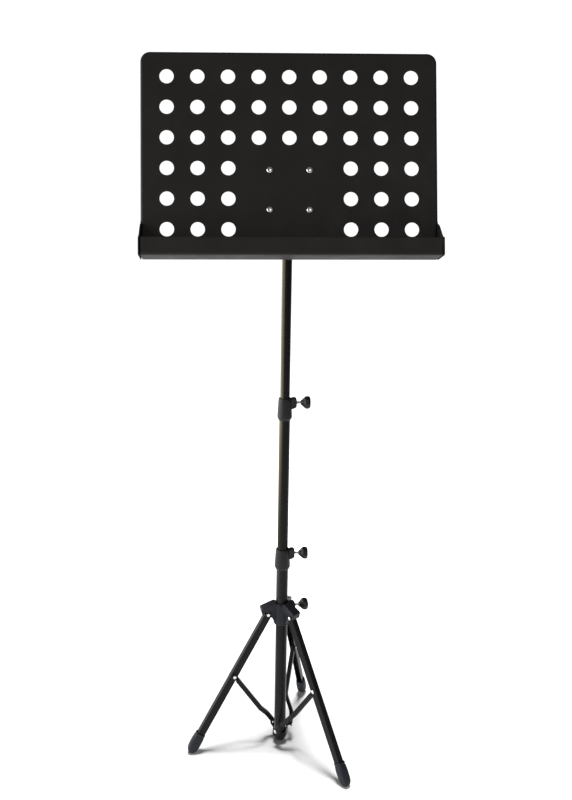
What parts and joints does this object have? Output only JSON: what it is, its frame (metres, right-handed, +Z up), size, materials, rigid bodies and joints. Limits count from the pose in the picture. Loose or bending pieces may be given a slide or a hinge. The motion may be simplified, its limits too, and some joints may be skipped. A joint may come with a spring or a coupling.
{
  "type": "music stand",
  "caption": "Folding music stand with a tilting perforated steel desk and sheet lip, a telescopic pole with clamp collars and a tripod base with rubber feet.",
  "frame": {"origin": "on the floor, under the middle of the bounding box, with the boots resting on z = 0", "axes": "+Z up along the pole; the desk faces -Y and its width is along X; the clamp knobs of the pole point to +X"},
  "size_m": [0.486, 0.319, 1.2895],
  "materials": {
    "black_powder_coat": "fine matte powder coat on sheet steel",
    "gloss_black_tube": "gloss black enamel on drawn tube",
    "black_plastic": "moulded satin plastic",
    "boot_rubber": "dull moulded rubber",
    "zinc_rivet": "bright zinc plating",
    "brass_insert": "turned brass, slightly dulled",
    "knob_plastic": "moulded satin plastic with a fluted rim",
    "nylon": "plain moulded nylon"
  },
  "bodies": {
    "lower": {"lower_tube": "gloss_black_tube", "bottom_plug": "boot_rubber", "base_bracket": "black_powder_coat", "base_pin_left": "zinc_rivet", "base_pin_front": "zinc_rivet", "base_pin_back": "zinc_rivet", "lower_collar": "black_plastic", "lower_clamp_insert": "brass_insert"},
    "hub": {"hub": "black_plastic", "hub_clamp_insert": "brass_insert"},
    "leg_left": {"leg_left": "black_powder_coat", "boot_left": "boot_rubber", "hub_pin_left": "zinc_rivet", "brace_pin_left": "zinc_rivet"},
    "brace_left": {"brace_left": "black_powder_coat"},
    "leg_front": {"leg_front": "black_powder_coat", "boot_front": "boot_rubber", "hub_pin_front": "zinc_rivet", "brace_pin_front": "zinc_rivet"},
    "brace_front": {"brace_front": "black_powder_coat"},
    "leg_back": {"leg_back": "black_powder_coat", "boot_back": "boot_rubber", "hub_pin_back": "zinc_rivet", "brace_pin_back": "zinc_rivet"},
    "brace_back": {"brace_back": "black_powder_coat"},
    "mid": {"mid_tube": "gloss_black_tube", "mid_tube_stop": "nylon", "upper_collar": "black_plastic", "upper_clamp_insert": "brass_insert"},
    "upper": {"upper_tube": "gloss_black_tube", "upper_tube_stop": "nylon"},
    "head": {"tilt_head": "black_plastic", "tilt_washer_left": "nylon", "tilt_washer_right": "nylon"},
    "desk": {"desk_plate": "black_powder_coat", "desk_bracket": "black_powder_coat", "desk_rivet_top_left": "zinc_rivet", "desk_rivet_top_right": "zinc_rivet", "desk_rivet_bottom_left": "zinc_rivet", "desk_rivet_bottom_right": "zinc_rivet", "tilt_bolt": "zinc_rivet"},
    "lower_clamp": {"lower_clamp_screw": "zinc_rivet", "lower_clamp_knob": "knob_plastic"},
    "upper_clamp": {"upper_clamp_screw": "zinc_rivet", "upper_clamp_knob": "knob_plastic"},
    "hub_clamp": {"hub_clamp_screw": "zinc_rivet", "hub_clamp_knob": "knob_plastic"},
    "tilt_knob": {"tilt_knob": "knob_plastic"}
  },
  "joints": [
    {"name": "tripod_fold", "type": "slide", "parent": "lower", "child": "hub", "axis": [0, 0, 1], "range_m": [0, 0.0395]},
    {"name": "leg_left_hinge", "type": "hinge", "parent": "hub", "child": "leg_left", "pos_m": [-0.02655, -0.02079, 0.2865], "axis": [0.1822, -0.9833, 0], "range_deg": [0, 26.34]},
    {"name": "brace_left_hinge", "type": "hinge", "parent": "lower", "child": "brace_left", "pos_m": [-0.00983, -0.01769, 0.037], "axis": [-0.1822, 0.9833, 0], "range_deg": [0, 26.16]},
    {"name": "leg_front_hinge", "type": "hinge", "parent": "hub", "child": "leg_front", "pos_m": [0.01753, -0.0364, 0.2865], "axis": [0.7604, 0.6494, 0], "range_deg": [0, 26.34]},
    {"name": "brace_front_hinge", "type": "hinge", "parent": "lower", "child": "brace_front", "pos_m": [0.00649, -0.02347, 0.037], "axis": [-0.7604, -0.6494, 0], "range_deg": [0, 26.16]},
    {"name": "leg_back_hinge", "type": "hinge", "parent": "hub", "child": "leg_back", "pos_m": [0.00901, 0.00958, 0.2865], "axis": [-0.9426, 0.3338, 0], "range_deg": [0, 26.34]},
    {"name": "brace_back_hinge", "type": "hinge", "parent": "lower", "child": "brace_back", "pos_m": [0.00334, -0.00644, 0.037], "axis": [0.9426, -0.3338, 0], "range_deg": [0, 26.16]},
    {"name": "mid_slide", "type": "slide", "parent": "lower", "child": "mid", "axis": [0, 0, 1], "range_m": [-0.25, 0.03]},
    {"name": "upper_slide", "type": "slide", "parent": "mid", "child": "upper", "axis": [0, 0, 1], "range_m": [-0.23, 0.03]},
    {"name": "desk_swivel", "type": "hinge", "parent": "upper", "child": "head", "pos_m": [0, -0.01587, 1.0327], "axis": [0, 0, 1], "continuous": true},
    {"name": "desk_tilt", "type": "hinge", "parent": "head", "child": "desk", "pos_m": [0, -0.01587, 1.0627], "axis": [-1, 0, 0], "range_deg": [-17, 70]},
    {"name": "lower_clamp_turn", "type": "hinge", "parent": "lower", "child": "lower_clamp", "pos_m": [0, -0.01587, 0.4105], "axis": [1, 0, 0], "continuous": true},
    {"name": "upper_clamp_turn", "type": "hinge", "parent": "mid", "child": "upper_clamp", "pos_m": [0, -0.01587, 0.703], "axis": [1, 0, 0], "continuous": true},
    {"name": "hub_clamp_turn", "type": "hinge", "parent": "hub", "child": "hub_clamp", "pos_m": [0, -0.01587, 0.3], "axis": [0.9833, 0.1822, 0], "continuous": true},
    {"name": "tilt_knob_turn", "type": "hinge", "parent": "desk", "child": "tilt_knob", "pos_m": [0, -0.01587, 1.0627], "axis": [1, 0, 0], "continuous": true}
  ],
  "couplings": [
    {"joint": "leg_left_hinge", "follows": "tripod_fold", "rad_per_m": 11.596},
    {"joint": "brace_left_hinge", "follows": "tripod_fold", "rad_per_m": 11.514},
    {"joint": "leg_front_hinge", "follows": "tripod_fold", "rad_per_m": 11.596},
    {"joint": "brace_front_hinge", "follows": "tripod_fold", "rad_per_m": 11.514},
    {"joint": "leg_back_hinge", "follows": "tripod_fold", "rad_per_m": 11.596},
    {"joint": "brace_back_hinge", "follows": "tripod_fold", "rad_per_m": 11.514}
  ]
}
